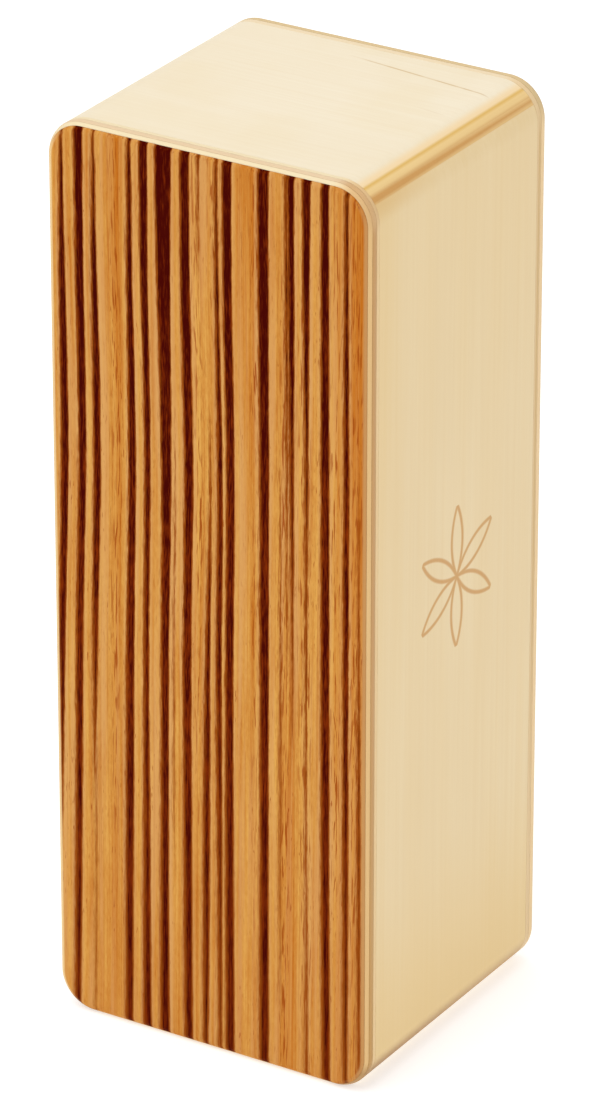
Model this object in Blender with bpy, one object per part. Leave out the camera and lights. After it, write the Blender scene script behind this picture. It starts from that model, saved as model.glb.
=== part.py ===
"""Hand-held box shaker: a glued plywood box with a figured front panel and loose steel pellets inside.

Blender 4.5, metres, +Z up. The origin is the centre of the base, the front faces -Y and +X is the right side.
Every panel is laid up ply by ply, because the plies show as stripes wherever an edge is rounded.
"""

import math
import random

import bmesh
import bpy

MM = 0.001

# The closed box
HEIGHT = 165.0 * MM
WIDTH = 62.0 * MM
DEPTH = 57.0 * MM
CORNER_RADIUS = 6.8 * MM
RIM_ROUND = 1.7 * MM

# Front panel, from the show face inwards
FRONT_VENEER = 0.4 * MM
FRONT_FACE_PLY = 0.6 * MM
FRONT_CORE_PLY = 1.05 * MM
FRONT_INNER_PLY = 0.8 * MM

# Plywood of the other five panels
WALL_FACE_PLY = 1.15 * MM
WALL_CORE_PLY = 1.1 * MM
WALL_INNER_PLY = 1.15 * MM

# Glue between two plies or two panels
GLUE_LINE = 0.05 * MM

# Loose fill
PELLET_DIAMETER = 5.0 * MM
PELLET_COUNT = 36
PELLET_SPACING = 1.5 * MM
PELLET_CLEARANCE = 0.3 * MM
PELLET_SEED = 7

# Roundness of the facets
CORNER_STEPS = 10
RIM_STEPS = 6
PELLET_SUBDIVISIONS = 2
WELD_DISTANCE = 0.002 * MM
SMOOTH_ANGLE = math.radians(25)

FRONT_PLIES = (
    ("front_veneer", FRONT_VENEER, "zebrano"),
    ("front_face_ply", FRONT_FACE_PLY, "golden_birch"),
    ("front_core_ply", FRONT_CORE_PLY, "dark_birch"),
    ("front_inner_ply", FRONT_INNER_PLY, "pale_birch"),
)


def wall_plies(side):
    """Names, thicknesses and finishes of one wall's plies, from the outside inwards."""
    return (
        (side + "_outer_ply", WALL_FACE_PLY, "pale_birch"),
        (side + "_core_ply", WALL_CORE_PLY, "golden_birch"),
        (side + "_inner_ply", WALL_INNER_PLY, "dark_birch"),
    )


def panel_thickness(plies):
    glue = GLUE_LINE * (len(plies) - 1)
    return sum(thickness for _, thickness, _ in plies) + glue


FRONT_PANEL = panel_thickness(FRONT_PLIES)
WALL = panel_thickness(wall_plies("any"))
RIM = min(RIM_ROUND, FRONT_PANEL, WALL)

# Inside of the box
CHAMBER_WIDTH = WIDTH - 2 * WALL
CHAMBER_FRONT = -DEPTH / 2 + FRONT_PANEL
CHAMBER_BACK = DEPTH / 2 - WALL
CHAMBER_DEPTH = CHAMBER_BACK - CHAMBER_FRONT
CHAMBER_FLOOR = WALL

# Room that each pellet has on the floor, and how far it may lie off its place there
PELLET_PITCH = PELLET_DIAMETER + PELLET_SPACING
PELLET_DRIFT = (PELLET_SPACING - PELLET_CLEARANCE) / 2

# sRGB colour, roughness and metallic value of each finish
FINISHES = {
    "zebrano": ((168, 98, 40), 0.45, 0.0),
    "pale_birch": ((238, 217, 176), 0.5, 0.0),
    "golden_birch": ((238, 203, 148), 0.55, 0.0),
    "dark_birch": ((203, 158, 104), 0.6, 0.0),
    "steel": ((176, 178, 182), 0.3, 1.0),
}


def clear_scene():
    for item in list(bpy.data.objects):
        bpy.data.objects.remove(item, do_unlink=True)


def linear(channel):
    """One sRGB channel of 0 to 255 as scene-linear light."""
    value = channel / 255
    return value / 12.92 if value <= 0.04045 else ((value + 0.055) / 1.055) ** 2.4


def make_finish(name):
    colour, roughness, metallic = FINISHES[name]
    material = bpy.data.materials.new(name)
    material.use_nodes = True
    shader = material.node_tree.nodes["Principled BSDF"]
    shader.inputs["Base Color"].default_value = (*(linear(c) for c in colour), 1.0)
    shader.inputs["Roughness"].default_value = roughness
    shader.inputs["Metallic"].default_value = metallic
    return material


def box_outline(inset):
    """Front view of the box as (x, z) points anticlockwise, pulled in all round by inset."""
    radius = max(CORNER_RADIUS - inset, GLUE_LINE)
    points = []
    for x_side, z_side, start in ((1, 1, 0), (-1, 1, 90), (-1, -1, 180), (1, -1, 270)):
        centre_x = x_side * (WIDTH / 2 - inset - radius)
        centre_z = HEIGHT / 2 + z_side * (HEIGHT / 2 - inset - radius)
        for step in range(CORNER_STEPS + 1):
            angle = math.radians(start + 90 * step / CORNER_STEPS)
            points.append((centre_x + radius * math.cos(angle), centre_z + radius * math.sin(angle)))
    return points


def clip(points, axis, limit, side):
    """The part of a convex outline above (side 1) or below (side -1) a limit on one axis."""
    kept = []
    for here, there in zip(points, points[1:] + points[:1]):
        height_here = side * (here[axis] - limit)
        height_there = side * (there[axis] - limit)
        if height_here >= 0:
            kept.append(here)
        if height_here * height_there < 0:
            share = height_here / (height_here - height_there)
            crossing = [a + share * (b - a) for a, b in zip(here, there)]
            crossing[axis] = limit
            kept.append(tuple(crossing))
    return kept


def window(low_x, high_x, low_z, high_z):
    """The box outline cut to a rectangle: the cross-section of one ply between front and back."""
    outline = box_outline(0.0)
    for axis, limit, side in ((0, low_x, 1), (0, high_x, -1), (1, low_z, 1), (1, high_z, -1)):
        outline = clip(outline, axis, limit, side)
    return outline


def rim_stations(near, far):
    """Depths behind a show face where the rounded rim of a ply needs an outline, with their insets."""
    arc = [RIM * (1 - math.cos(math.radians(90 * step / RIM_STEPS))) for step in range(RIM_STEPS + 1)]
    margin = GLUE_LINE / 2
    depths = [near] + [depth for depth in arc if near + margin < depth < far - margin] + [far]
    stations = []
    for depth in depths:
        rise = max(RIM - depth, 0.0)
        stations.append((depth, RIM - math.sqrt(RIM**2 - rise**2)))
    return stations


def add_loft(name, sections, finish, parent):
    """One closed solid through a row of outlines, given as (y, points) from front to back."""
    shape = bmesh.new()
    rings = [[shape.verts.new((x, y, z)) for x, z in points] for y, points in sections]
    shape.faces.new(rings[0])
    shape.faces.new(rings[-1][::-1])
    for ring, following in zip(rings, rings[1:]):
        for index in range(len(ring)):
            after = (index + 1) % len(ring)
            shape.faces.new((ring[index], following[index], following[after], ring[after]))
    bmesh.ops.remove_doubles(shape, verts=shape.verts, dist=WELD_DISTANCE)
    bmesh.ops.recalc_face_normals(shape, faces=shape.faces)
    mesh = bpy.data.meshes.new(name)
    shape.to_mesh(mesh)
    shape.free()
    return add_object(name, mesh, finish, parent)


def add_object(name, mesh, finish, parent):
    mesh.shade_smooth()
    mesh.set_sharp_from_angle(angle=SMOOTH_ANGLE)
    if not mesh.materials:
        mesh.materials.append(finish)
    item = bpy.data.objects.new(name, mesh)
    item.parent = parent
    bpy.context.collection.objects.link(item)
    return item


def add_empty(name, parent=None):
    item = bpy.data.objects.new(name, None)
    item.parent = parent
    bpy.context.collection.objects.link(item)
    return item


def ply_depths(plies):
    """Each ply with the depths of its near and far face behind the panel's outside."""
    depth = 0.0
    for name, thickness, finish in plies:
        yield name, finish, depth, depth + thickness
        depth += thickness + GLUE_LINE


def add_end_panel(plies, parent, finishes):
    """Front or back panel: full-size plies that cap the box, with the rim rounded over."""
    for name, finish, near, far in ply_depths(plies):
        sections = [(depth, box_outline(inset)) for depth, inset in rim_stations(near, far)]
        add_loft(name, sections, finishes[finish], parent)


def add_cap_panel(plies, upper, parent, finishes):
    """Top or bottom panel: it runs over the ends of the two side panels."""
    for name, finish, near, far in ply_depths(plies):
        low, high = (HEIGHT - far, HEIGHT - near) if upper else (near, far)
        add_wall_ply(name, window(-WIDTH / 2, WIDTH / 2, low, high), finishes[finish], parent)


def add_side_panel(plies, right, parent, finishes):
    """Left or right panel: it stands between the top and bottom panels."""
    foot = WALL + GLUE_LINE
    for name, finish, near, far in ply_depths(plies):
        low, high = (WIDTH / 2 - far, WIDTH / 2 - near) if right else (near - WIDTH / 2, far - WIDTH / 2)
        add_wall_ply(name, window(low, high, foot, HEIGHT - foot), finishes[finish], parent)


def add_wall_ply(name, outline, finish, parent):
    """A ply of the same cross-section all the way from the front panel to the back panel."""
    sections = [(CHAMBER_FRONT + GLUE_LINE, outline), (CHAMBER_BACK - GLUE_LINE, outline)]
    add_loft(name, sections, finish, parent)


def pellet_places(length):
    """Places along one side of the chamber floor where a pellet can lie, as far apart as they fit."""
    span = length - PELLET_DIAMETER - 2 * (PELLET_CLEARANCE + PELLET_DRIFT)
    count = int(span / PELLET_PITCH) + 1
    step = span / max(count - 1, 1)
    return [(index - (count - 1) / 2) * step for index in range(count)]


def pellet_spots():
    """Resting centres of the pellets, scattered over the floor and, once that is full, above it."""
    chance = random.Random(PELLET_SEED)
    middle_y = (CHAMBER_FRONT + CHAMBER_BACK) / 2
    places = [(x, middle_y + y) for x in pellet_places(CHAMBER_WIDTH) for y in pellet_places(CHAMBER_DEPTH)]
    height = CHAMBER_FLOOR + PELLET_CLEARANCE + PELLET_DIAMETER / 2
    left = PELLET_COUNT
    while left > 0:
        for x, y in sorted(chance.sample(places, min(left, len(places)))):
            drift_x = chance.uniform(-PELLET_DRIFT, PELLET_DRIFT)
            drift_y = chance.uniform(-PELLET_DRIFT, PELLET_DRIFT)
            yield x + drift_x, y + drift_y, height
        left -= len(places)
        height += PELLET_PITCH


def add_pellets(parent, finish):
    """Steel pellets that share one mesh, each with its origin at its own centre."""
    shape = bmesh.new()
    bmesh.ops.create_icosphere(shape, subdivisions=PELLET_SUBDIVISIONS, radius=PELLET_DIAMETER / 2)
    mesh = bpy.data.meshes.new("pellet")
    shape.to_mesh(mesh)
    shape.free()
    for number, spot in enumerate(pellet_spots(), start=1):
        pellet = add_object(f"pellet_{number:02d}", mesh, finish, parent)
        pellet.location = spot


def main():
    clear_scene()
    finishes = {name: make_finish(name) for name in FINISHES}
    shaker = add_empty("shaker")
    front = add_empty("front_panel", shaker)
    front.location.y = -DEPTH / 2
    back = add_empty("back_panel", shaker)
    back.location.y = DEPTH / 2
    back.rotation_euler.z = math.pi
    add_end_panel(FRONT_PLIES, front, finishes)
    add_end_panel(wall_plies("back"), back, finishes)
    add_cap_panel(wall_plies("top"), True, shaker, finishes)
    add_cap_panel(wall_plies("bottom"), False, shaker, finishes)
    add_side_panel(wall_plies("left"), False, shaker, finishes)
    add_side_panel(wall_plies("right"), True, shaker, finishes)
    add_pellets(shaker, finishes["steel"])


main()
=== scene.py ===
"""Looks of a hand-held box shaker: glued plywood panels, a striped front veneer and loose steel pellets.

The frame gives every place and size. Each ply of the frame gets a finer board with softly broken edges, and
each board and pellet gets its finish from nodes that read Object coordinates, turned into millimetres.
"""

import math

import bmesh
import bpy
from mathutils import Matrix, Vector


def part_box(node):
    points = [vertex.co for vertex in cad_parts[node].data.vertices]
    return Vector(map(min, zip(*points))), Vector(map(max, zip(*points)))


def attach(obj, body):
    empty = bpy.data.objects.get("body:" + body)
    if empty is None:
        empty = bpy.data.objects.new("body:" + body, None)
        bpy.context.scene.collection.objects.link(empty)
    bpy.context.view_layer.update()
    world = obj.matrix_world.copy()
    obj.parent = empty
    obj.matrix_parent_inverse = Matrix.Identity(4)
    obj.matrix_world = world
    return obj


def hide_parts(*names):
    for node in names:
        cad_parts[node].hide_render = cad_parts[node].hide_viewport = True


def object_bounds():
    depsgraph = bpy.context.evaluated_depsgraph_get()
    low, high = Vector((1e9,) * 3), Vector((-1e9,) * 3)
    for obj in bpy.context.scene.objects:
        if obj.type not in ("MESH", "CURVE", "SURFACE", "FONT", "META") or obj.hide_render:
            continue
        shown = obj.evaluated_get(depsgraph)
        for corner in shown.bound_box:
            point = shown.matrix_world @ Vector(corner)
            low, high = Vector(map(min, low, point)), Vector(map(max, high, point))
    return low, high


bl_info = {
    "name": "Box Shaker",
    "version": (1, 0, 0),
    "blender": (4, 5, 0),
    "location": "View3D > Sidebar > Shaker",
    "description": "Lays up a plywood box shaker ply by ply, fills it and sets it on a stage",
    "category": "Object",
}

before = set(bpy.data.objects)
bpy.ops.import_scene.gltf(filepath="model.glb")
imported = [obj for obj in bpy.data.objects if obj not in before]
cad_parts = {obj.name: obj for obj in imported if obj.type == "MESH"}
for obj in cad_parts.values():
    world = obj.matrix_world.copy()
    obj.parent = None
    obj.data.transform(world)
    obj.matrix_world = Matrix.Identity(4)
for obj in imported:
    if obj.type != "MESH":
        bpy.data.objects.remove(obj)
CAD_LOW, CAD_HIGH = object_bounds()
WIDTH, DEPTH, HEIGHT = CAD_HIGH - CAD_LOW

MM = 0.001
BOX_BODY = "box"

# Outside of the box in millimetres, for the finishes
RIGHT = WIDTH / MM / 2
LEFT = -RIGHT
BACK = DEPTH / MM / 2
FRONT = -BACK
TOP = HEIGHT / MM
HALF_WAY = TOP / 2

# Dark stripes of the veneer in millimetres: place at the top edge, drift from there to the foot, then the
# width at the top, half way down and at the foot. A stripe ends where its width falls below zero.
STRIPES = (
    (-27.9, -2.7, 0.55, 1.3, -1.2),
    (-24.4, -2.7, 1.6, 1.25, 1.05),
    (-21.6, -2.2, 0.5, 1.1, -1.6),
    (-21.3, -2.2, -0.5, 0.1, 0.34),
    (-14.8, -1.6, 0.8, 1.4, 1.2),
    (-12.0, -0.7, 1.6, 1.0, 1.4),
    (-8.2, -1.0, 3.1, 1.5, 1.65),
    (-6.6, -0.6, -0.6, 0.3, -0.3),
    (-4.0, -0.4, 1.7, 1.5, 1.3),
    (-1.45, 0.0, 0.6, -0.7, -1.0),
    (0.4, -1.4, -1.3, 0.85, 0.85),
    (2.0, 0.0, 0.6, 1.0, 0.65),
    (4.1, -0.1, 1.7, 1.45, 1.4),
    (11.0, -0.2, 2.0, 1.6, 1.5),
    (14.1, -0.1, -0.6, 0.35, 0.0),
    (15.3, 0.0, 0.7, 0.2, -1.0),
    (16.2, 0.4, 1.2, 0.5, -1.2),
    (19.1, 0.1, 1.5, 0.5, 0.6),
    (22.6, 0.5, 1.3, 1.45, 1.25),
    (26.6, 0.3, 0.7, 1.05, 0.75),
    (29.0, 0.6, -0.8, 0.5, 0.5),
)

# Broad amber bands between the stripes, given in the same way
BANDS = (
    (-17.4, -2.2, 2.6, 1.2, 1.0),
    (8.0, 0.8, 3.4, 0.7, 0.7),
    (15.8, 0.0, -0.5, 1.2, 2.2),
    (26.4, 0.0, 3.6, 3.2, 3.2),
)

# Stretches where the light wood has open pores, given in the same way
POROUS = (
    (-17.8, -1.6, 1.6, 1.8, -0.5),
    (-2.0, -0.2, 1.4, 1.4, -1.0),
    (1.0, 0.0, 1.4, -0.5, -1.0),
    (9.2, -0.4, 1.8, 1.2, 0.2),
    (14.6, 0.0, 0.4, 2.2, 1.6),
    (18.6, 0.6, 1.6, 2.4, 1.8),
    (24.6, 0.2, 0.6, 2.2, -0.8),
    (28.4, 0.4, 2.0, 2.6, 1.0),
)

# Softness of the edges of bands and porous stretches, and the share by which a left edge is softer than that
# and a right edge is harder
BAND_SOFTNESS = 1.1
POROUS_SOFTNESS = 0.8
LEFT_SOFTER = 0.35

# Dark lines across the top in millimetres: place from front to back, left end, right end and strength
TOP_LINES = ((20.2, -3.0, 26.4, 1.0), (8.85, 18.5, 24.5, 0.45))
TOP_LINE_SLANT = 0.128

# Ornament on the right side: height as a share of the box, compass setting and line in millimetres
ROSETTE_HEIGHT = 0.52
ROSETTE_RADIUS = 13.0
ROSETTE_LINE = 0.6
ROSETTE_PETALS = 6

# Shares of red, green and blue that are left in shaded wood, in tarnish and in the floor's mottling
WOOD_SHADE = (0.93, 0.88, 0.8)
TARNISH_SHADE = (0.62, 0.58, 0.52)
MOTTLE_SHADE = (0.985, 0.985, 0.985)
WHITE = (1.0, 1.0, 1.0, 1.0)

# Height of the bumps in a finish, and how many dents a pellet would have in a metre
RELIEF = 0.1 * MM
DENTS_PER_METRE = 900.0

# Turns that lay streaks along an axis
GRAIN_TURNS = {"x": (0.0, math.pi / 2, 0.0), "y": (math.pi / 2, 0.0, 0.0), "z": (0.0, 0.0, 0.0)}

# Boards: how near points are welded, which corners are broken, the longest break as a share of an edge, and
# how much the large faces sway the shading
WELD_DISTANCE = 0.0005 * MM
SHARP_CORNER = math.radians(25)
LONGEST_BREAK = 0.4
FLAT_FACE_WEIGHT = 100

# Front and back plies: share of the thickness that the end rings take, and crowding of a show face's rings
END_RING = 0.001
SHOW_FACE_CROWDING = 2.0

# Softboxes: name, place and size in metres, and power in watts
SOFTBOXES = (
    ("overhead softbox", (-0.2, -0.3, 1.4), 1.6, 12.6),
    ("right softbox", (1.4, -0.4, 0.7), 1.2, 1.2),
    ("front softbox", (-0.4, -1.5, 0.7), 1.2, 1.15),
)
SKY_STRENGTH = 0.65
FLOOR_GLOW = 0.54
FLOOR_RADIUS = 4.0
FLOOR_SEGMENTS = 64
FLOOR_DROP = 0.02 * MM

# Camera at the photograph's viewing angle
VIEW_AZIMUTH = math.radians(31.68)
VIEW_ELEVATION = math.radians(25.46)
VIEW_DISTANCE = 1188.6 * MM
VIEW_AIM = Vector((0.23, 0.15, 82.5)) * MM
VIEW_LENS = 229.6
VIEW_NEAREST = 0.01


def length(name, description, millimetres):
    """A length that a user may change."""
    return bpy.props.FloatProperty(
        name=name, description=description, default=millimetres * MM, min=0.0, unit="LENGTH", precision=5
    )


def count(name, description, default, **limits):
    """A fineness that a user may change."""
    return bpy.props.IntProperty(name=name, description=description, default=default, **limits)


def colour(name, description, red, green, blue):
    """An sRGB colour that a user may change, given in channels of 0 to 255."""
    return bpy.props.FloatVectorProperty(
        name=name, description=description, default=(red / 255, green / 255, blue / 255),
        size=3, min=0.0, max=1.0, subtype="COLOR_GAMMA",
    )


class ShakerSizes(bpy.types.PropertyGroup):
    """Sizes that the frame's boxes don't give, and the fineness of the boards."""

    corner_radius: length("Corner radius", "Rounding of the four edges that run from front to back", 6.8)
    rim_round: length("Rim rounding", "Rounding of the front and back rims", 1.7)
    edge_break: length("Edge break", "Width of the soft break along the edges of each ply", 0.05)
    glue_line: length("Glue line", "Gap between two plies of the frame, which the boards close", 0.05)
    dent_depth: length("Dent depth", "Deepest dent in a tumbled pellet", 0.03)
    corner_steps: count("Corner steps", "Facets round each corner", 24, min=4)
    rim_steps: count("Rim steps", "Facets over each rim", 12, min=3)
    pellet_detail: count("Pellet detail", "Subdivisions of a pellet", 4, min=2, max=6)


class ShakerColours(bpy.types.PropertyGroup):
    """Colours of the woods, the steel and the stage."""

    zebrano: colour("Zebrano", "Light wood between the stripes", 219, 164, 82)
    zebrano_deep: colour("Zebrano streaks", "Deeper streaks of the light wood", 190, 114, 38)
    zebrano_pale: colour("Stripe border", "Pale wood along each side of a stripe", 213, 160, 99)
    zebrano_amber: colour("Zebrano bands", "Broad amber bands", 188, 104, 22)
    pore: colour("Pores", "Short open pores of the veneer", 154, 66, 8)
    stripe_edge: colour("Stripe edge", "Brown edge of a dark stripe", 150, 74, 14)
    stripe: colour("Stripe", "Heart of a dark stripe", 68, 4, 0)
    stripe_faded: colour("Faded stripe", "Lighter stretches of a dark stripe", 128, 44, 2)
    # Partly sanded veneer, partly a painted reflection of side light on the rounded right rim
    sanded_edge_and_sheen: colour("Veneer edge", "Right edge of the veneer, sanded thin", 194, 146, 92)
    veneer_worn: colour("Worn veneer", "Left edge of the veneer, sanded through", 238, 210, 156)
    # Painted sheen: the top birch is a paler, less yellow copy of the side birch below, which stands in for
    # overhead light and its reflection; the bottom shares it
    top_birch_painted_sheen: colour("Top birch", "Outer plies of the top and bottom", 235, 223, 198)
    top_cloud: colour("Top clouds", "Yellowish clouds on the top and bottom", 226, 205, 158)
    side_birch: colour("Side birch", "Outer plies of the sides and back", 232, 210, 168)
    golden_birch: colour("Golden birch", "Middle plies", 233, 201, 140)
    dark_birch: colour("Dark birch", "Inner plies", 207, 156, 89)
    front_face: colour("Front face ply", "Light ply under the veneer", 226, 189, 132)
    front_core: colour("Front core", "Dark middle ply of the front panel", 198, 154, 100)
    front_inner: colour("Front inner ply", "Ply between the front core and the walls", 231, 201, 151)
    back_core: colour("Back core", "Middle ply of the back panel", 236, 207, 160)
    back_inner: colour("Back inner ply", "Inner ply of the back panel", 227, 200, 156)
    back_line: colour("Back glue line", "Dark line beside the core of the back panel", 205, 171, 116)
    # Painted light: lighter copies of the ply colours for the top edges of upright plies, where the rim
    # rounds over towards the overhead light; the back's outer plies take a tan painted shading there
    painted_crown_light: colour("Lit ply", "Top edge of a light upright ply", 230, 212, 173)
    painted_crown_dark: colour("Lit dark ply", "Top edge of a dark upright ply", 221, 194, 157)
    painted_crown_back: colour("Lit back ply", "Top edge of the back panel's inner ply", 229, 208, 172)
    painted_crown_tan: colour("Lit back edge", "Top edge of the back panel's outer plies", 211, 184, 136)
    end_grain: colour("End grain", "Right-hand end of the top ply", 236, 209, 163)
    end_line: colour("End line", "Darkest line of that end grain", 220, 177, 89)
    # Yellower birch for the faint streaks up a side, and painted shade near its front edge, its top and its
    # foot
    streak_and_shade_birch: colour("Aged birch", "Yellowed birch near the ends of the sides", 228, 197, 138)
    # Painted shade just under the rounded edges of the caps
    painted_head_shade: colour("Side head", "Darkened birch just under the rounded edges of the caps", 221, 184, 126)
    corner_stain: colour("Corner stain", "Stain at the top right corner of the front", 210, 170, 120)
    # Painted shade on the rounded edge at the foot
    painted_foot_shade: colour("Foot edge", "Soiled edge at the foot", 168, 126, 74)
    low_core: colour("Low core", "Yellower lower half of the front panel's core", 190, 148, 82)
    grain_line: colour("Grain line", "Fine dark line in the top ply", 200, 168, 116)
    burn: colour("Burn", "Burnt lines of the ornament", 200, 146, 76)
    steel: colour("Steel", "Pellets", 176, 178, 182)
    floor: colour("Floor", "Pale floor", 212, 212, 212)


def linear(gamma_colour):
    """Scene-linear RGBA of an sRGB colour of 0 to 1."""
    channels = [c / 12.92 if c <= 0.04045 else ((c + 0.055) / 1.055) ** 2.4 for c in gamma_colour]
    return (*channels, 1.0)


def shaded(rgba, shares):
    """A scene-linear colour of which each channel keeps a share."""
    return tuple(channel * share for channel, share in zip(rgba, (*shares, 1.0)))


class Value:
    """What a node puts out, in a form that sums, products and ramps can be written with."""

    def __init__(self, graph, socket):
        self.graph = graph
        self.socket = socket

    def __add__(self, other):
        return self.graph.math("ADD", self, other)

    def __sub__(self, other):
        return self.graph.math("SUBTRACT", self, other)

    def __rsub__(self, other):
        return self.graph.math("SUBTRACT", other, self)

    def __mul__(self, other):
        return self.graph.math("MULTIPLY", self, other)

    def __truediv__(self, other):
        return self.graph.math("DIVIDE", self, other)

    def __neg__(self):
        return self * -1.0

    def __abs__(self):
        return self.graph.math("ABSOLUTE", self)

    def __lt__(self, other):
        return self.graph.math("LESS_THAN", self, other)

    def __gt__(self, other):
        return self.graph.math("GREATER_THAN", self, other)

    def at_least(self, other):
        return self.graph.math("MAXIMUM", self, other)

    def at_most(self, other):
        return self.graph.math("MINIMUM", self, other)

    def remap(self, low, high, to_low=0.0, to_high=1.0, kind="LINEAR"):
        """The value carried from one range to another and held at its ends."""
        sockets = {"Value": self, "From Min": low, "From Max": high, "To Min": to_low, "To Max": to_high}
        return self.graph.value("ShaderNodeMapRange", "Result", sockets, interpolation_type=kind)

    def ease(self, low, high, to_low=0.0, to_high=1.0):
        """The same with soft ends."""
        return self.remap(low, high, to_low, to_high, "SMOOTHSTEP")


class Graph:
    """Short calls that add nodes to one node tree and join them."""

    def __init__(self, tree):
        self.tree = tree

    def feed(self, socket, value):
        if isinstance(value, Value):
            self.tree.links.new(value.socket, socket)
        else:
            socket.default_value = value

    def node(self, kind, sockets=None, **settings):
        """A new node, set and then fed."""
        node = self.tree.nodes.new(kind)
        for name, setting in settings.items():
            setattr(node, name, setting)
        for name, value in (sockets or {}).items():
            self.feed(node.inputs[name], value)
        return node

    def value(self, kind, output, sockets=None, **settings):
        """One value that a new node puts out."""
        return Value(self, self.node(kind, sockets, **settings).outputs[output])

    def values(self, node):
        """All that a node puts out, by name."""
        return {socket.name: Value(self, socket) for socket in node.outputs}

    def math(self, operation, *values):
        return self.value("ShaderNodeMath", 0, dict(enumerate(values)), operation=operation)

    def vector(self, operation, first, second=(0.0, 0.0, 0.0), scale=1.0):
        # By number, because a name finds only the sockets that the operation uses
        sockets = {0: first, 1: second, 3: scale}
        output = "Value" if operation in {"DOT_PRODUCT", "LENGTH"} else "Vector"
        return self.value("ShaderNodeVectorMath", output, sockets, operation=operation)

    def split(self, vector):
        return self.values(self.node("ShaderNodeSeparateXYZ", {0: vector})).values()

    def join(self, x, y, z):
        return self.value("ShaderNodeCombineXYZ", 0, {0: x, 1: y, 2: z})

    def mix(self, factor, first, second):
        sockets = {"Factor": factor, "A": first, "B": second}
        return self.value("ShaderNodeMix", "Result", sockets, data_type="RGBA")

    def noise(self, vector, seed=0.0, detail=2.0, scale=1.0):
        sockets = {"Vector": vector, "W": seed, "Scale": scale, "Detail": detail}
        return self.value("ShaderNodeTexNoise", "Fac", sockets, noise_dimensions="4D")

    def group(self, tree, **sockets):
        named = {name.replace("_", " ").capitalize(): value for name, value in sockets.items()}
        return self.values(self.node("ShaderNodeGroup", named, node_tree=tree))


def new_group(name, kind, inputs, outputs):
    """A node group with named sockets: its graph, what it is given and its output node."""
    tree = bpy.data.node_groups.new(name, kind)
    for way, sockets in (("INPUT", inputs), ("OUTPUT", outputs)):
        for socket, socket_type in sockets.items():
            tree.interface.new_socket(socket, in_out=way, socket_type="NodeSocket" + socket_type)
    graph = Graph(tree)
    return graph, graph.values(graph.node("NodeGroupInput")), graph.node("NodeGroupOutput")


def fibres_group():
    """Streaks along Z of a given spacing and length, from 0 to 1."""
    graph, given, result = new_group(
        "Fibres", "ShaderNodeTree",
        {"Vector": "Vector", "Spacing": "Float", "Length": "Float", "Seed": "Float"}, {"Streaks": "Float"},
    )
    size = graph.join(given["Spacing"], given["Spacing"], given["Length"])
    place = graph.vector("DIVIDE", given["Vector"], size)
    graph.feed(result.inputs["Streaks"], graph.noise(place, given["Seed"]))
    return graph.tree


def stripe_group():
    """One stripe laid over those already there: softer on its left, fainter where it is narrow."""
    graph, given, result = new_group(
        "Stripe", "ShaderNodeTree",
        {"Across": "Float", "Bend": "Float", "Shares": "Vector", "Place": "Float", "Drift": "Float",
         "Widths": "Vector", "Softness": "Float", "Figure": "Float", "Border": "Float"},
        {"Figure": "Float", "Border": "Float"},
    )
    width = graph.vector("DOT_PRODUCT", given["Shares"], given["Widths"])
    offset = given["Across"] - (given["Bend"] * given["Drift"] + given["Place"])
    past_edge = abs(offset) - width * 0.5
    soft = given["Softness"] * (1.0 - graph.math("SIGN", offset) * LEFT_SOFTER)
    shown = past_edge.ease(soft, -soft) * width.remap(0.0, 0.2) * width.remap(0.0, 1.2, 0.35, 1.0)
    beside = past_edge.remap(0.9, 0.2) * width.remap(0.3, 0.9)
    graph.feed(result.inputs["Figure"], given["Figure"].at_least(shown))
    graph.feed(result.inputs["Border"], given["Border"].at_least(beside))
    return graph.tree


def painted_edge_shade_group():
    """Painted shade along the edges of the box: how near a point lies to an edge, 1 on the edge, 0 a reach
    away from it.
    """
    graph, given, result = new_group(
        "Edge Wear", "ShaderNodeTree",
        {"Vector": "Vector", "Reach": "Float", "Seed": "Float"}, {"Wear": "Float"},
    )
    centred = graph.vector("ABSOLUTE", graph.vector("SUBTRACT", given["Vector"], (0.0, 0.0, HALF_WAY)))
    x, y, z = graph.split(graph.vector("SUBTRACT", (RIGHT, BACK, HALF_WAY), centred))
    second_nearest = x.at_most(y).at_least(x.at_least(y).at_most(z))
    patchy = graph.noise(given["Vector"], given["Seed"], scale=0.09).remap(0.3, 0.7, 0.6, 1.4)
    graph.feed(result.inputs["Wear"], second_nearest.ease(given["Reach"] * patchy, 0.0))
    return graph.tree


def rosette_group():
    """Line mask of a six-petal rosette drawn with a compass of one setting."""
    graph, given, result = new_group(
        "Rosette", "ShaderNodeTree",
        {"Across": "Float", "Up": "Float", "Radius": "Float", "Line": "Float"}, {"Lines": "Float"},
    )
    point = graph.join(given["Across"], given["Up"], 0.0)
    nearest = given["Radius"]
    for petal in range(ROSETTE_PETALS):
        angle = 2 * math.pi * (petal + 0.5) / ROSETTE_PETALS
        spoke = graph.vector("SCALE", (math.cos(angle), math.sin(angle), 0.0), scale=given["Radius"])
        span = graph.vector("LENGTH", graph.vector("SUBTRACT", point, spoke))
        nearest = nearest.at_most(abs(span - given["Radius"]))
    drawn = nearest.ease(given["Line"] * 0.9, given["Line"] * 0.25)
    inside = graph.vector("LENGTH", point) < given["Radius"]
    graph.feed(result.inputs["Lines"], drawn * inside)
    return graph.tree


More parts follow.
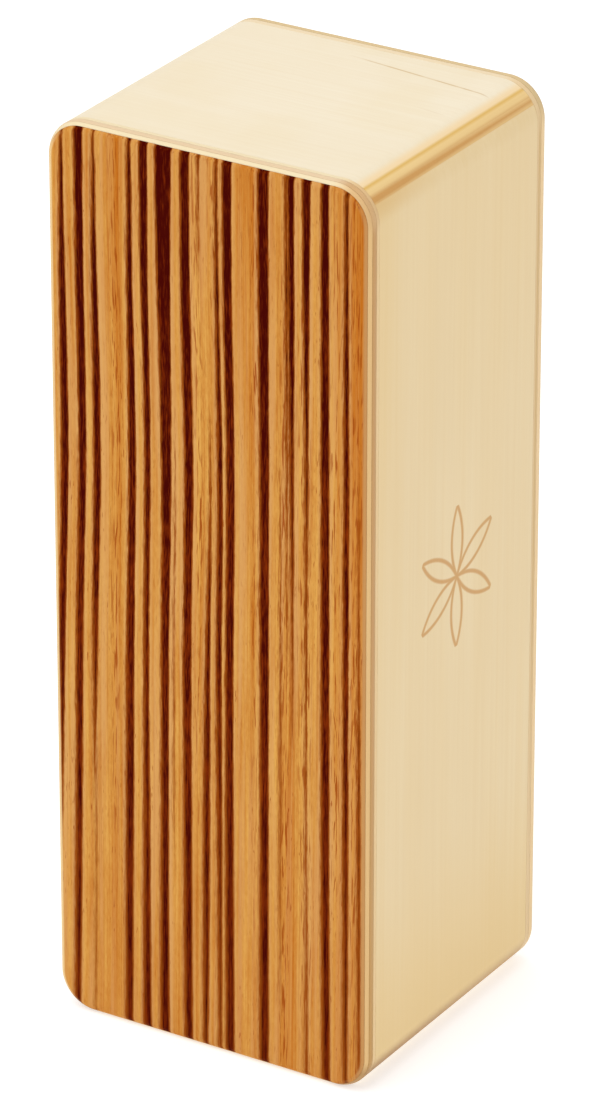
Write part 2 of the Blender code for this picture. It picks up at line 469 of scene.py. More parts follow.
def outline_group():
    """Millimetres from a point to the outline of the front, measured inwards."""
    graph, given, result = new_group(
        "Outline Distance", "ShaderNodeTree",
        {"Vector": "Vector", "Corner radius": "Float"}, {"Inside": "Float"},
    )
    x, _, z = graph.split(given["Vector"])
    radius = given["Corner radius"]
    past_x = abs(x) - RIGHT + radius
    past_z = abs(z - HALF_WAY) - HALF_WAY + radius
    turn = graph.vector("LENGTH", graph.join(past_x.at_least(0.0), past_z.at_least(0.0), 0.0))
    flat = past_x.at_least(past_z).at_most(0.0)
    graph.feed(result.inputs["Inside"], radius - (turn + flat))
    return graph.tree


def shared_group(build):
    """The node group that a builder makes, made once."""
    name = build.__name__
    known = {tree.get("builder"): tree for tree in bpy.data.node_groups}
    if name not in known:
        known[name] = build()
        known[name]["builder"] = name
    return known[name]


class Finish(Graph):
    """A material under way, with its Principled shader and its Object coordinates in millimetres."""

    def __init__(self, name):
        self.material = bpy.data.materials.new(name)
        self.material.use_nodes = True
        super().__init__(self.material.node_tree)
        self.shader = self.tree.nodes["Principled BSDF"]
        self.place = self.vector("SCALE", self.value("ShaderNodeTexCoord", "Object"), scale=1 / MM)
        self.x, self.y, self.z = self.split(self.place)

    def fibres(self, vector, spacing, length, seed):
        tree = shared_group(fibres_group)
        return self.group(tree, vector=vector, spacing=spacing, length=length, seed=seed)["Streaks"]

    # Painted shade that darkens a finish near the edges of the box
    def painted_edge_shade(self, reach, seed):
        return self.group(shared_group(painted_edge_shade_group), vector=self.place, reach=reach, seed=seed)["Wear"]

    def tint(self, wood, mask, strength, gamma_colour):
        return self.mix(mask * strength, wood, linear(gamma_colour))

    def surface(self, base, roughness, specular, height=None, bump=0.0):
        """Feeds the shader and gives the finished material."""
        self.feed(self.shader.inputs["Base Color"], base)
        self.feed(self.shader.inputs["Roughness"], roughness)
        self.feed(self.shader.inputs["Specular IOR Level"], specular)
        if height is not None:
            sockets = {"Height": height, "Strength": bump, "Distance": RELIEF}
            self.feed(self.shader.inputs["Normal"], self.value("ShaderNodeBump", "Normal", sockets))
        return self.material


class Veneer(Finish):
    """The striped veneer under way: its places across the wandering grain and down from the top edge."""

    def __init__(self):
        super().__init__("zebrano")
        down = self.z.remap(TOP, 0.0)
        up = 1.0 - down
        tilt = down * 2.0 - 1.0
        self.bend = self.math("POWER", down, 1.5)
        # Shares of the widths at the top, half way and at the foot, which lay a parabola through the three
        self.shares = self.join(-(up * tilt), up * down * 4.0, down * tilt)
        wander = self.fibres(self.place, 8.0, 90.0, 3.0).remap(0.0, 1.0, -0.3, 0.3)
        ragged = self.fibres(self.place, 0.4, 8.0, 5.0).remap(0.0, 1.0, -0.08, 0.08)
        # About two thirds of the way up, all but the rightmost stripes swing half a millimetre to the right
        sway = abs(self.z - 108.0).ease(40.0, 0.0, 0.0, -0.5) * self.x.remap(13.0, 5.0)
        self.across = wander + ragged + sway + self.x
        self.leaning = self.join(self.bend * 1.2 + self.across, self.y, self.z)
        self.fine = self.streaks(0.3, 30.0, 13.0)

    def streaks(self, spacing, length, seed):
        return self.fibres(self.leaning, spacing, length, seed)

    def stripes(self, table, softness):
        """How dark the stripes of a table are, and where the wood beside them is pale."""
        tree = shared_group(stripe_group)
        figure, border = 0.0, 0.0
        for place, drift, *widths in table:
            stripe = self.group(tree, across=self.across, bend=self.bend, shares=self.shares, place=place,
                                drift=drift, widths=widths, softness=softness, figure=figure, border=border)
            figure, border = stripe["Figure"], stripe["Border"]
        return figure, border


def light_wood(veneer, colours):
    """Golden wood between the stripes: streaks and clouds, rosy streaks, and amber bands."""
    depth = (
        veneer.streaks(1.1, 90.0, 11.0) * 1.3
        + veneer.fine * 0.7
        + veneer.streaks(0.35, 1.3, 31.0) * 0.6
        + veneer.streaks(2.4, 18.0, 43.0) * 0.8
    )
    wood = veneer.mix(depth.remap(1.35, 2.1), linear(colours.zebrano), linear(colours.zebrano_deep))
    rosy = veneer.streaks(1.5, 70.0, 37.0).remap(0.48, 0.62)
    wood = veneer.tint(wood, rosy, 0.6, colours.zebrano_pale)
    ends = abs(veneer.z - HALF_WAY).remap(25.0, 70.0)
    wood = veneer.tint(wood, ends, 0.12, colours.zebrano_amber)
    bands, _ = veneer.stripes(BANDS, BAND_SOFTNESS)
    bands = bands * veneer.fine.remap(0.35, 0.6, 0.5, 1.0)
    wood = veneer.tint(wood, bands, 0.6, colours.zebrano_amber)
    right = veneer.x.remap(RIGHT - 3.8, RIGHT - 2.2) * veneer.fine.remap(0.3, 0.6, 0.6, 1.0)
    return veneer.tint(wood, right, veneer.z.remap(70.0, 130.0, 0.45, 0.9), colours.zebrano_amber)


def open_pores(veneer):
    """Dashes where the wood is porous, and specks here and there."""
    porous, _ = veneer.stripes(POROUS, POROUS_SOFTNESS)
    dashes = veneer.streaks(0.34, 6.0, 29.0).remap(0.55, 0.61) * porous
    patches = veneer.streaks(3.0, 22.0, 19.0).remap(0.46, 0.6)
    specks = veneer.streaks(0.3, 2.6, 17.0).remap(0.62, 0.68) * patches
    return dashes.at_least(specks)


def dark_stripes(veneer, colours, wood, pores):
    """The light wood with its pores, hairlines and dark stripes laid over it."""
    figure, border = veneer.stripes(STRIPES, veneer.z.remap(80.0, 20.0, 0.55, 0.9))
    wood = veneer.tint(wood, border, veneer.fine.remap(0.35, 0.6, 0.25, 0.75), colours.zebrano_pale)
    wood = veneer.tint(wood, pores, 0.85, colours.pore)
    hairlines = veneer.streaks(0.3, 120.0, 41.0).remap(0.6, 0.7) * veneer.z.remap(100.0, 30.0, 0.3, 0.75)
    wood = veneer.tint(wood, hairlines, 0.5, colours.stripe_edge)
    rough = veneer.z.remap(15.0, 75.0, 0.65, 1.2)
    fray = (
        veneer.streaks(0.22, 3.0, 27.0) * 0.5
        + veneer.streaks(0.4, 6.0, 45.0) * 0.3
        + veneer.streaks(0.3, 1.4, 47.0) * 0.25
        - 0.525
    )
    figure = fray * rough + figure
    beads = (veneer.streaks(0.25, 2.5, 33.0) - 0.5) * rough
    faded = (
        veneer.streaks(0.9, 9.0, 23.0)
        + veneer.streaks(0.25, 12.0, 25.0) * 0.8
        + beads * 1.2
        - veneer.z.remap(90.0, 150.0) * 0.2
    )
    heart = veneer.mix(faded.remap(0.72, 1.26), linear(colours.stripe), linear(colours.stripe_faded))
    wood = veneer.mix(figure.remap(0.07, 0.42), wood, linear(colours.stripe_edge))
    return veneer.mix(figure.remap(0.41, 0.79), wood, heart)


def sanded_and_sheened_rim(veneer, sizes, colours, wood):
    """The veneer with its rim sanded thin on the left and right; on the right it also carries a painted
    reflection where the rim rounds away.
    """
    tree = shared_group(outline_group)
    inside = veneer.group(tree, vector=veneer.place, corner_radius=sizes.corner_radius / MM)["Inside"]
    rim_band = inside.ease(1.4, 0.9) * veneer.z.remap(1.0, 4.0) * veneer.z.remap(TOP - 2.0, TOP - 6.0)
    leftmost = veneer.x.remap(LEFT + 4.0, LEFT + 2.0)
    # On the right, the rim colour is partly a painted reflection
    rim_tone = veneer.mix(leftmost, linear(colours.sanded_edge_and_sheen), linear(colours.veneer_worn))
    return veneer.mix(rim_band * 0.85, wood, rim_tone)


def zebrano_finish(sizes, colours):
    """Striped veneer under satin lacquer, its grain running up the front."""
    veneer = Veneer()
    pores = open_pores(veneer)
    wood = dark_stripes(veneer, colours, light_wood(veneer, colours), pores)
    wood = sanded_and_sheened_rim(veneer, sizes, colours, wood)
    roughness = veneer.fine.remap(0.2, 0.8, 0.4, 0.52)
    return veneer.surface(wood, roughness, specular=0.01, height=veneer.fine * 0.3 - pores, bump=0.15)


def painted_light_crown(finish):
    """Painted light on the top edge of an upright ply, from its left corner to where its right corner begins
    to turn.
    """
    return finish.z.ease(TOP - 7.0, TOP - 1.0) * finish.x.ease(RIGHT - 3.0, RIGHT - 8.0)


def right_end(finish):
    """The right-hand end of a cap's outer ply, where it rounds over and shows end grain."""
    return finish.x.ease(RIGHT - 5.0, RIGHT - 3.4)


def end_line(finish):
    """The darkest line of that end grain, next to the core ply."""
    return finish.x.ease(RIGHT - 3.45, RIGHT - 2.9)


def cap_depth(finish):
    """Depth of a point of a cap panel below its outside."""
    return HALF_WAY - abs(finish.z - HALF_WAY)


def core_top(finish):
    """The outer face of a cap's core ply, stained by the glue."""
    return cap_depth(finish).ease(1.55, 1.15)


def core_foot(finish):
    """The inner face of a cap's core ply, stained by the glue."""
    return cap_depth(finish).ease(1.9, 2.4)


def inner_faces(finish):
    """Both faces of a cap's inner ply, which are lighter than its middle, most so towards the back."""
    from_middle = abs(cap_depth(finish) - 2.85)
    return (from_middle + finish.y.remap(-20.0, 25.0, 0.0, 0.3)).remap(0.25, 0.7)


def painted_back_crown(finish):
    """Painted shading on the top edge of a back ply, both corners with it, but not the back itself."""
    return finish.z.ease(TOP - 9.0, TOP - 3.0) * finish.y.remap(BACK, BACK - 0.4)


def back_line(finish):
    """A glue line in the back panel's inner ply, near its core, up to where the corners begin."""
    behind = BACK - finish.y
    line = behind.ease(2.35, 2.7) * behind.ease(3.5, 2.8)
    return line * finish.z.remap(20.0, 75.0, 0.2, 1.0) * finish.z.remap(TOP - 4.0, TOP - 9.0)


def clouds(finish):
    """Soft blotches of a show face."""
    return finish.noise(finish.place, seed=6.0, scale=0.07).ease(0.42, 0.7)


def upright_streaks(finish):
    """Broad faint streaks up a side."""
    return finish.fibres(finish.place, 3.0, 80.0, 9.0).remap(0.4, 0.66)


def painted_front_shade(finish):
    """Painted shade on the strip of a side next to the front panel, plainest towards the top."""
    return finish.y.remap(FRONT + 11.0, FRONT + 4.0) * finish.z.remap(60.0, 130.0, 0.3, 1.0)


def towards_front(finish):
    """From 0 in the middle of the box to 1 near its front."""
    return finish.y.remap(-4.0, -24.0)


def painted_head_shade(finish):
    """Painted shade at the very top of a side, under the rounded edge, plainest towards the front."""
    return finish.z.ease(TOP - 7.5, TOP - 3.5) * towards_front(finish)


def corner_stain(finish):
    """The top right corner of the front panel's rim, where its plies blur into one another."""
    return finish.z.ease(TOP - 8.5, TOP - 5.0) * finish.x.ease(RIGHT - 6.0, RIGHT - 3.0)


def painted_end_shade(finish):
    """Painted shade on the lowest stretch of a side and on a short one at its top, with a hint of it further
    down.
    """
    low = finish.z.ease(42.0, 4.0)
    high = finish.z.ease(TOP - 9.0, TOP - 2.5) * towards_front(finish).remap(0.0, 1.0, 0.25, 1.0)
    hint = finish.z.remap(TOP - 55.0, TOP - 5.0, 0.0, 0.35)
    return low.at_least(high).at_least(hint)


def painted_foot_shade(finish):
    """Painted shade on the rounded edge at the foot, where it turns down towards the floor, most so towards
    the front.
    """
    outside = abs(finish.x).remap(RIGHT - 9.0, RIGHT - 6.0)
    return finish.z.ease(6.4, 3.4) * finish.y.remap(28.0, -24.0, 0.45, 1.0) * outside


def lower_half(finish):
    """From 0 half way up the box to 1 near its foot."""
    return finish.z.remap(75.0, 15.0)


def fine_line(finish):
    """Two dark grain lines across the right half of the top, the nearer one faint, both broken up."""
    slanting = finish.x * TOP_LINE_SLANT + finish.y
    lines = 0.0
    for place, start, end, strength in TOP_LINES:
        drawn = abs(slanting - place).ease(0.3, 0.05, 0.0, strength)
        lines = drawn * finish.x.remap(start, start + 6.0) * finish.x.remap(end, end - 1.5) + lines
    return lines * finish.noise(finish.place, seed=8.0, scale=0.35).remap(0.3, 0.55, 0.4, 1.0)


def rosette(finish):
    """The ornament half way up the right side."""
    tree = shared_group(rosette_group)
    up = finish.z - ROSETTE_HEIGHT * TOP
    return finish.group(tree, across=finish.y, up=up, radius=ROSETTE_RADIUS, line=ROSETTE_LINE)["Lines"]


def birch_finish(name, base, grain, seed, tints):
    """Even, fine-grained birch under satin lacquer. Grain is the axis that its fibres follow."""
    finish = Finish(name)
    sockets = {"Vector": finish.place, "Rotation": GRAIN_TURNS[grain]}
    along = finish.value("ShaderNodeMapping", "Vector", sockets)
    broad = finish.fibres(along, 16.0, 60.0, seed)
    lines = finish.fibres(along, 0.55, 45.0, seed + 0.4)
    flecks = finish.fibres(along, 0.22, 2.2, seed + 0.8).remap(0.62, 0.74)
    light = linear(base)
    shade = shaded(light, WOOD_SHADE)
    wood = finish.mix(broad.remap(0.3, 0.7, 0.0, 0.4), light, shade)
    wood = finish.mix(lines.remap(0.35, 0.75, 0.0, 0.4), wood, shade)
    wood = finish.mix(flecks * 0.3, wood, shade)
    # Painted shade: the birch darkens within a few millimetres of each edge of the box
    wood = finish.mix(finish.painted_edge_shade(4.0, seed) * 0.4, wood, shade)
    for mask, strength, paint in tints:
        wood = finish.tint(wood, mask(finish), strength, paint)
    roughness = lines.remap(0.2, 0.8, 0.4, 0.52)
    return finish.surface(wood, roughness, specular=0.25, height=lines * 0.4 - flecks, bump=0.1)


def steel_finish(colours):
    """Tumbled steel with fine scratches and a little tarnish."""
    finish = Finish("steel")
    tarnish = finish.noise(finish.place, seed=2.0, detail=4.0, scale=0.7)
    scratch = finish.fibres(finish.place, 0.05, 1.2, 4.0)
    base = linear(colours.steel)
    metal = finish.mix(tarnish.remap(0.45, 0.75), base, shaded(base, TARNISH_SHADE))
    finish.shader.inputs["Metallic"].default_value = 1.0
    roughness = tarnish.remap(0.3, 0.7, 0.22, 0.42)
    return finish.surface(metal, roughness, specular=0.5, height=scratch, bump=0.1)


def floor_finish(colours):
    """Matt pale floor with the faintest mottling."""
    finish = Finish("pale_floor")
    base = linear(colours.floor)
    mottle = finish.noise(finish.place, seed=1.0, scale=0.01).remap(0.3, 0.7)
    tone = finish.mix(mottle, base, shaded(base, MOTTLE_SHADE))
    finish.shader.inputs["Emission Color"].default_value = WHITE
    finish.shader.inputs["Emission Strength"].default_value = FLOOR_GLOW
    return finish.surface(tone, roughness=0.9, specular=0.0)


def box_outline(sizes):
    """Front view of the box as (x, z) points anticlockwise."""
    radius = sizes.corner_radius
    points = []
    for x_side, z_side, start in ((1, 1, 0), (-1, 1, 90), (-1, -1, 180), (1, -1, 270)):
        centre_x = x_side * (WIDTH / 2 - radius)
        centre_z = HEIGHT / 2 + z_side * (HEIGHT / 2 - radius)
        for step in range(sizes.corner_steps + 1):
            angle = math.radians(start + 90 * step / sizes.corner_steps)
            points.append(Vector((centre_x + radius * math.cos(angle), centre_z + radius * math.sin(angle))))
    return points


def clip(points, axis, limit, side):
    """The part of a convex outline above (side 1) or below (side -1) a limit on one axis."""
    kept = []
    for here, there in zip(points, points[1:] + points[:1]):
        height_here = side * (here[axis] - limit)
        height_there = side * (there[axis] - limit)
        if height_here >= 0:
            kept.append(here)
        if height_here * height_there < 0:
            kept.append(here.lerp(there, height_here / (height_here - height_there)))
    return kept


def window(sizes, low, high):
    """The box outline cut to a rectangle: the cross-section of one wall ply."""
    outline = box_outline(sizes)
    for axis in (0, 1):
        outline = clip(outline, axis, low[axis], 1)
        outline = clip(outline, axis, high[axis], -1)
    return outline


def corners(points):
    """Each point of an outline with the one before it and the one after it."""
    return zip(points[-1:] + points[:-1], points, points[1:] + points[:1])


def soften(points, amount):
    """An outline with each sharp corner replaced by a small arc."""
    softened = []
    for before, here, after in corners(points):
        into, out = here - before, after - here
        if into.angle(out) < SHARP_CORNER:
            softened.append(here)
            continue
        start = here - into.normalized() * min(amount, into.length * LONGEST_BREAK)
        end = here + out.normalized() * min(amount, out.length * LONGEST_BREAK)
        softened += [start, (start + here * 2 + end) / 4, end]
    return softened


def shrink(points, amount):
    """A convex anticlockwise outline with every point moved inwards by about the same amount."""
    moved = []
    for before, here, after in corners(points):
        way = (here - before).normalized() + (after - here).normalized()
        way.normalize()
        moved.append(here + Vector((-way.y, way.x)) * amount)
    return moved


def loft(sections):
    """Closed mesh through a row of outlines, given as (y, points)."""
    shape = bmesh.new()
    rings = [[shape.verts.new((p.x, y, p.y)) for p in points] for y, points in sections]
    shape.faces.new(rings[0])
    shape.faces.new(rings[-1][::-1])
    for ring, following in zip(rings, rings[1:]):
        for index in range(len(ring)):
            after = (index + 1) % len(ring)
            shape.faces.new((ring[index], following[index], following[after], ring[after]))
    bmesh.ops.remove_doubles(shape, verts=shape.verts, dist=WELD_DISTANCE)
    bmesh.ops.recalc_face_normals(shape, faces=shape.faces)
    return shape


def settled(item):
    """The object with its modifiers turned into a plain mesh."""
    shape = bpy.data.meshes.new_from_object(item.evaluated_get(bpy.context.evaluated_depsgraph_get()))
    item.modifiers.clear()
    item.data = shape
    return item


def grow(item, tree, values):
    """Hangs a node tree on an object and sets its inputs, before the object is first evaluated."""
    growth = item.modifiers.new(tree.name, "NODES")
    growth.node_group = tree
    for socket in tree.interface.items_tree:
        if socket.in_out == "INPUT":
            growth[socket.identifier] = values[socket.name]


def new_piece(name):
    """An object with an empty mesh."""
    piece = bpy.data.objects.new(name, bpy.data.meshes.new(name))
    bpy.context.collection.objects.link(piece)
    return piece


def place_board(board, node):
    """Makes a board stand for one ply of the frame."""
    board.modifiers.new("flat faces", "WEIGHTED_NORMAL").weight = FLAT_FACE_WEIGHT
    place_piece(settled(board), BOX_BODY, node)


def place_piece(piece, body, node):
    """Makes a piece move with a body and stand for one node of the frame."""
    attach(piece, body)
    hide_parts(node)


def closed_box(sizes, node):
    """Corners of a ply, grown by half a glue line wherever it doesn't lie on the outside of the box."""
    low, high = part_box(node)
    half = sizes.glue_line / 2
    for axis in range(3):
        if low[axis] > CAD_LOW[axis] + half:
            low[axis] -= half
        if high[axis] < CAD_HIGH[axis] - half:
            high[axis] += half
    return low, high


def end_ply_tree():
    """Geometry nodes of a front or back ply: a drum whose rings are laid on the rounded rim."""
    graph, given, result = new_group(
        "End Ply", "GeometryNodeTree",
        {"Width": "Float", "Height": "Float", "Corner radius": "Float", "Corner steps": "Int",
         "Rim rounding": "Float", "Rim steps": "Int", "Crowding": "Float", "Edge break": "Float",
         "Near": "Float", "Far": "Float", "Outside": "Float", "Inwards": "Float", "Material": "Material"},
        {"Geometry": "Geometry"},
    )
    corner_points = given["Corner steps"] + 1.0
    around = corner_points * 4.0
    sockets = {"Vertices": around, "Side Segments": given["Rim steps"], "Radius": 1.0, "Depth": 1.0}
    drum = graph.value("GeometryNodeMeshCylinder", "Mesh", sockets, fill_type="NGON")
    drum_x, drum_y, drum_z = graph.split(graph.value("GeometryNodeInputPosition", 0))

    share = graph.math("ARCTAN2", drum_y, drum_x) / (2 * math.pi)
    number = graph.math("FLOORED_MODULO", graph.math("ROUND", share * around), around)
    corner = graph.math("FLOOR", number / corner_points)
    step = number - corner * corner_points
    angle = (corner + step / given["Corner steps"]) * (math.pi / 2)
    diagonal = corner * (math.pi / 2) + math.pi / 4

    way_in = drum_z + 0.5
    thickness = given["Far"] - given["Near"]
    depth = graph.math("POWER", way_in, given["Crowding"]) * thickness + given["Near"]
    rim = given["Rim rounding"]
    rise = (rim - depth).at_least(0.0)
    rounding = rim - graph.math("SQRT", rim * rim - rise * rise)
    near_ring = (way_in < END_RING) * (given["Near"] > given["Edge break"])
    broken = near_ring + (way_in > 1.0 - END_RING)
    radius = given["Corner radius"] - (broken * given["Edge break"] + rounding)

    half_height = given["Height"] * 0.5
    places = []
    for half, turned in ((given["Width"] * 0.5, "COSINE"), (half_height, "SINE")):
        centre = (half - given["Corner radius"]) * graph.math("SIGN", graph.math(turned, diagonal))
        places.append(graph.math(turned, angle) * radius + centre)
    y = given["Inwards"] * depth + given["Outside"]
    spot = graph.join(places[0], y, places[1] + half_height)
    laid = graph.value("GeometryNodeSetPosition", 0, {"Geometry": drum, "Position": spot})
    outwards = graph.value("GeometryNodeFlipFaces", 0, {"Mesh": laid, "Selection": given["Inwards"]})
    finish_tree(graph, outwards, given["Material"], result)
    return graph.tree


def finish_tree(graph, geometry, material, result):
    """The end of every geometry tree: smooth faces, no instances and one material."""
    smooth = graph.value("GeometryNodeSetShadeSmooth", 0, {"Geometry": geometry})
    real = graph.value("GeometryNodeRealizeInstances", 0, {"Geometry": smooth})
    painted = graph.value("GeometryNodeSetMaterial", 0, {"Geometry": real, "Material": material})
    graph.feed(result.inputs["Geometry"], painted)


def end_ply(sizes, node, material):
    """A ply of the front or back panel: the full outline, with its share of the rounded rim."""
    low, high = closed_box(sizes, node)
    outside, inwards = (CAD_LOW.y, 1.0) if low.y < 0 else (CAD_HIGH.y, -1.0)
    near, far = sorted((inwards * (low.y - outside), inwards * (high.y - outside)))
    board = new_piece("wood_" + node)
    grow(board, shared_group(end_ply_tree), {
        "Width": WIDTH, "Height": HEIGHT, "Material": material,
        "Corner radius": sizes.corner_radius, "Corner steps": sizes.corner_steps,
        "Rim rounding": sizes.rim_round, "Rim steps": sizes.rim_steps, "Edge break": sizes.edge_break,
        "Crowding": SHOW_FACE_CROWDING if near < sizes.edge_break else 1.0,
        "Near": near, "Far": far, "Outside": outside, "Inwards": inwards,
    })
    return board


def wall_ply(sizes, node, material):
    """A ply of the top, bottom, left or right panel, which runs from the front panel to the back panel."""
    low, high = closed_box(sizes, node)
    if node.startswith(("top", "bottom")):
        low.x, high.x = CAD_LOW.x, CAD_HIGH.x
    edge = sizes.edge_break
    outline = soften(window(sizes, (low.x, low.z), (high.x, high.z)), edge)
    end = shrink(outline, edge)
    shape = loft([(low.y, end), (low.y + edge, outline), (high.y - edge, outline), (high.y, end)])
    board = new_piece("wood_" + node)
    shape.to_mesh(board.data)
    shape.free()
    board.data.shade_smooth()
    board.data.materials.append(material)
    return board


class ShakerOperator(bpy.types.Operator):
    """What the shaker's operators share."""

    bl_options = {"REGISTER", "UNDO"}

    def lay_up(self, context, build, seed, plies):
        """Makes birch plies, each given as its node, slot, grain, colour and tints. The slot is not used."""
        for number, (node, slot, grain, base, tints) in enumerate(plies):
            material = birch_finish(node, base, grain, seed + number, tints)
            place_board(build(context.scene.shaker_sizes, node, material), node)


class SHAKER_OT_front_panel(ShakerOperator):
    """Lay up the front panel: striped veneer on three plies, with the rim rounded over"""

    bl_idname = "shaker.front_panel"
    bl_label = "Front Panel"

    def execute(self, context):
        paint = context.scene.shaker_colours
        sizes = context.scene.shaker_sizes
        # Painted shade on the rounded foot of the plies
        foot_shade_tint = (painted_foot_shade, 0.8, paint.painted_foot_shade)
        # The crown tints are painted light on the top edges of the plies
        light = ((painted_light_crown, 1.0, paint.painted_crown_light), (corner_stain, 0.6, paint.corner_stain), foot_shade_tint)
        dark = (
            (lower_half, 0.6, paint.low_core),
            (painted_light_crown, 1.0, paint.painted_crown_dark),
            (corner_stain, 0.9, paint.corner_stain),
            foot_shade_tint,
        )
        veneer = end_ply(sizes, "front_veneer", zebrano_finish(sizes, paint))
        place_board(veneer, "front_veneer")
        self.lay_up(context, end_ply, 21.0, (
            ("front_face_ply", "golden_birch", "x", paint.front_face, light),
            ("front_core_ply", "dark_birch", "z", paint.front_core, dark),
            ("front_inner_ply", "pale_birch", "x", paint.front_inner, light),
        ))
        return {"FINISHED"}


class SHAKER_OT_back_panel(ShakerOperator):
    """Lay up the back panel: three plies with the rim rounded over"""

    bl_idname = "shaker.back_panel"
    bl_label = "Back Panel"

    def execute(self, context):
        paint = context.scene.shaker_colours
        # Painted shading on the top edge of the back's outer plies
        tan = ((painted_back_crown, 1.0, paint.painted_crown_tan),)
        inner = ((back_line, 1.0, paint.back_line), (painted_light_crown, 1.0, paint.painted_crown_back))
        self.lay_up(context, end_ply, 31.0, (
            ("back_outer_ply", "pale_birch", "z", paint.side_birch, tan),
            ("back_core_ply", "golden_birch", "x", paint.back_core, tan),
            ("back_inner_ply", "dark_birch", "z", paint.back_inner, inner),
        ))
        return {"FINISHED"}


class SHAKER_OT_cap_panels(ShakerOperator):
    """Lay up the top and bottom panels, which run over the ends of the sides"""

    bl_idname = "shaker.cap_panels"
    bl_label = "Top and Bottom Panels"

    def execute(self, context):
        paint = context.scene.shaker_colours
        outer = (
            (clouds, 0.2, paint.top_cloud),
            (right_end, 1.0, paint.end_grain),
            (end_line, 0.95, paint.end_line),
            (fine_line, 0.8, paint.grain_line),
        )
        # Painted shade on the rounded foot of the plies
        foot_shade_tint = (painted_foot_shade, 0.95, paint.painted_foot_shade)
        core = ((core_top, 0.9, paint.end_line), (core_foot, 0.6, paint.dark_birch), foot_shade_tint)
        inner = ((inner_faces, 0.6, paint.golden_birch), foot_shade_tint)
        for side, seed in (("top", 41.0), ("bottom", 46.0)):
            self.lay_up(context, wall_ply, seed, (
                # The outer plies take the top birch, whose paleness is painted sheen
                (side + "_outer_ply", "pale_birch", "x", paint.top_birch_painted_sheen, outer),
                (side + "_core_ply", "golden_birch", "y", paint.golden_birch, core),
                (side + "_inner_ply", "dark_birch", "x", paint.dark_birch, inner),
            ))
        return {"FINISHED"}


class SHAKER_OT_side_panels(ShakerOperator):
    """Lay up the left and right panels, and burn the ornament into the right one"""

    bl_idname = "shaker.side_panels"
    bl_label = "Left and Right Panels"

    def execute(self, context):
        paint = context.scene.shaker_colours
        face = (
            (upright_streaks, 0.18, paint.streak_and_shade_birch),
            # Painted shade near the front edge, the top and the foot of a side
            (painted_front_shade, 0.55, paint.streak_and_shade_birch),
            (painted_end_shade, 0.8, paint.streak_and_shade_birch),
            (painted_head_shade, 0.6, paint.painted_head_shade),
            # Painted shade on the rounded foot of the side
            (painted_foot_shade, 0.95, paint.painted_foot_shade),
        )
        ornament = ((rosette, 0.85, paint.burn),)
        for side, seed, outer in (("left", 51.0, face), ("right", 56.0, face + ornament)):
            self.lay_up(context, wall_ply, seed, (
                (side + "_outer_ply", "pale_birch", "z", paint.side_birch, outer),
                (side + "_core_ply", "golden_birch", "y", paint.golden_birch, ()),
                (side + "_inner_ply", "dark_birch", "z", paint.dark_birch, ()),
            ))
        return {"FINISHED"}


def pellet_tree():
    """Geometry nodes of one tumbled pellet: a ball with shallow dents, moved to its place."""
    graph, given, result = new_group(
        "Pellet", "GeometryNodeTree",
        {"Radius": "Float", "Detail": "Int", "Dent depth": "Float", "Seed": "Float", "Centre": "Vector",
         "Material": "Material"},
        {"Geometry": "Geometry"},
    )
    sockets = {"Radius": given["Radius"], "Subdivisions": given["Detail"]}
    ball = graph.value("GeometryNodeMeshIcoSphere", "Mesh", sockets)
    where = graph.value("GeometryNodeInputPosition", 0)
    dents = graph.noise(where, given["Seed"], detail=1.0, scale=DENTS_PER_METRE).remap(0.45, 0.25)
    outwards = graph.value("GeometryNodeInputNormal", 0)
    offset = graph.vector("SCALE", outwards, scale=-(dents * given["Dent depth"]))
    dented = graph.value("GeometryNodeSetPosition", 0, {"Geometry": ball, "Offset": offset})
    moved = graph.value("GeometryNodeTransform", 0, {"Geometry": dented, "Translation": given["Centre"]})
    finish_tree(graph, moved, given["Material"], result)
    return graph.tree


class SHAKER_OT_pellets(ShakerOperator):
    """Fill the box with steel pellets, one for each pellet of the frame"""

    bl_idname = "shaker.pellets"
    bl_label = "Pellets"

    def execute(self, context):
        sizes = context.scene.shaker_sizes
        material = steel_finish(context.scene.shaker_colours)
        for number, node in enumerate(sorted(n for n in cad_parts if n.startswith("pellet_"))):
            low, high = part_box(node)
            pellet = new_piece("steel_" + node)
            grow(pellet, shared_group(pellet_tree), {
                "Radius": (high.z - low.z) / 2, "Detail": sizes.pellet_detail, "Seed": float(number),
                "Dent depth": sizes.dent_depth, "Centre": (low + high) / 2, "Material": material,
            })
            place_piece(settled(pellet), node, node)
        return {"FINISHED"}


class SHAKER_OT_stage(ShakerOperator):
    """Set the pale floor, the soft lights and the camera"""

    bl_idname = "shaker.stage"
    bl_label = "Stage"

    def execute(self, context):
        add_floor(context.scene.shaker_colours)
        for name, place, size, power in SOFTBOXES:
            add_light(name, place, size, power)
        world = bpy.data.worlds.new("studio")
        world.use_nodes = True
        sky = world.node_tree.nodes["Background"]
        sky.inputs["Color"].default_value = WHITE
        sky.inputs["Strength"].default_value = SKY_STRENGTH
        context.scene.world = world
        context.scene.view_settings.view_transform = "Standard"
        add_camera(context.scene)
        return {"FINISHED"}


def add_floor(colours):
    """A wide round floor just under the box."""
    shape = bmesh.new()
    bmesh.ops.create_circle(shape, cap_ends=True, segments=FLOOR_SEGMENTS, radius=FLOOR_RADIUS)
    mesh = bpy.data.meshes.new("floor")
    shape.to_mesh(mesh)
    shape.free()
    mesh.materials.append(floor_finish(colours))
    floor = bpy.data.objects.new("floor", mesh)
    floor.location.z = CAD_LOW.z - FLOOR_DROP
    bpy.context.collection.objects.link(floor)


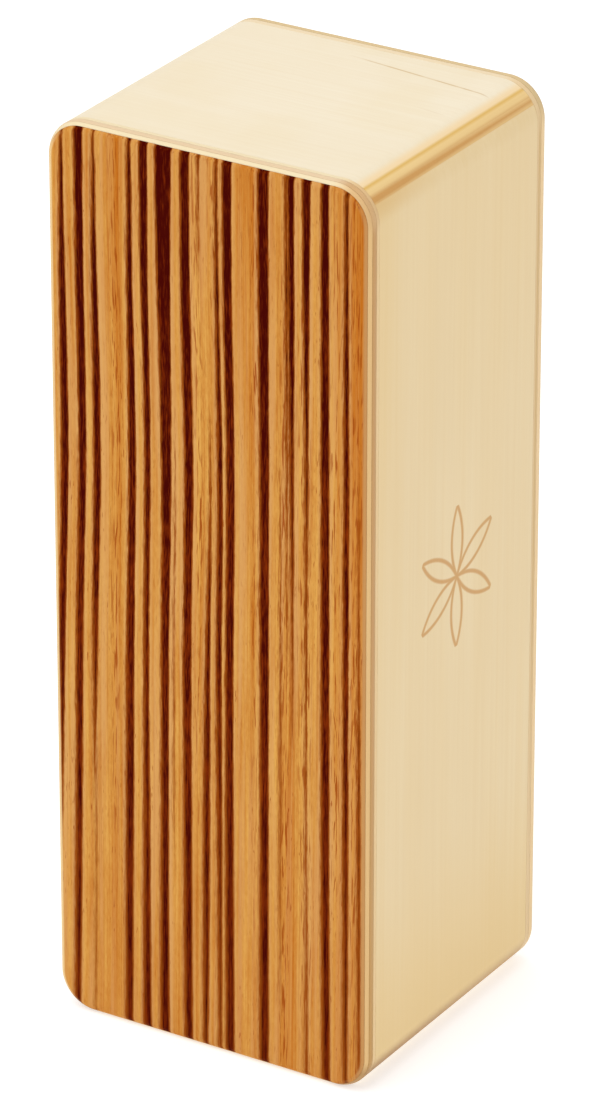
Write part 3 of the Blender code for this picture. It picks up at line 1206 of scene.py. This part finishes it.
def add_light(name, place, size, power):
    """A square softbox aimed at the middle of the box."""
    lamp = bpy.data.lights.new(name, "AREA")
    lamp.shape = "SQUARE"
    lamp.size = size
    lamp.energy = power
    light = bpy.data.objects.new(name, lamp)
    light.location = place
    aim = Vector((0.0, 0.0, HEIGHT / 2)) - light.location
    light.rotation_euler = aim.to_track_quat("-Z", "Y").to_euler()
    bpy.context.collection.objects.link(light)


def add_camera(scene):
    """A plain camera that looks from the front right and from above."""
    lens = bpy.data.cameras.new("camera")
    lens.lens = VIEW_LENS
    lens.clip_start = VIEW_NEAREST
    camera = bpy.data.objects.new("camera", lens)
    flat = math.cos(VIEW_ELEVATION)
    back = Vector((math.sin(VIEW_AZIMUTH) * flat, -math.cos(VIEW_AZIMUTH) * flat, math.sin(VIEW_ELEVATION)))
    camera.location = VIEW_AIM + back * VIEW_DISTANCE
    camera.rotation_euler = (-back).to_track_quat("-Z", "Y").to_euler()
    bpy.context.collection.objects.link(camera)
    scene.camera = camera


OPERATORS = (
    SHAKER_OT_front_panel,
    SHAKER_OT_back_panel,
    SHAKER_OT_cap_panels,
    SHAKER_OT_side_panels,
    SHAKER_OT_pellets,
    SHAKER_OT_stage,
)


class SHAKER_PT_panel(bpy.types.Panel):
    """Sizes, colours and build steps of the shaker"""

    bl_idname = "SHAKER_PT_panel"
    bl_label = "Box Shaker"
    bl_space_type = "VIEW_3D"
    bl_region_type = "UI"
    bl_category = "Shaker"

    def draw(self, context):
        for group in (context.scene.shaker_sizes, context.scene.shaker_colours):
            for name in group.__annotations__:
                self.layout.prop(group, name)
        for operator in OPERATORS:
            self.layout.operator(operator.bl_idname)


CLASSES = (ShakerSizes, ShakerColours, *OPERATORS, SHAKER_PT_panel)


def register():
    for item in CLASSES:
        bpy.utils.register_class(item)
    bpy.types.Scene.shaker_sizes = bpy.props.PointerProperty(type=ShakerSizes)
    bpy.types.Scene.shaker_colours = bpy.props.PointerProperty(type=ShakerColours)


def unregister():
    del bpy.types.Scene.shaker_colours
    del bpy.types.Scene.shaker_sizes
    for item in reversed(CLASSES):
        bpy.utils.unregister_class(item)


def main():
    register()
    bpy.ops.shaker.front_panel()
    bpy.ops.shaker.back_panel()
    bpy.ops.shaker.cap_panels()
    bpy.ops.shaker.side_panels()
    bpy.ops.shaker.pellets()
    bpy.ops.shaker.stage()


if __name__ == "__main__":
    main()
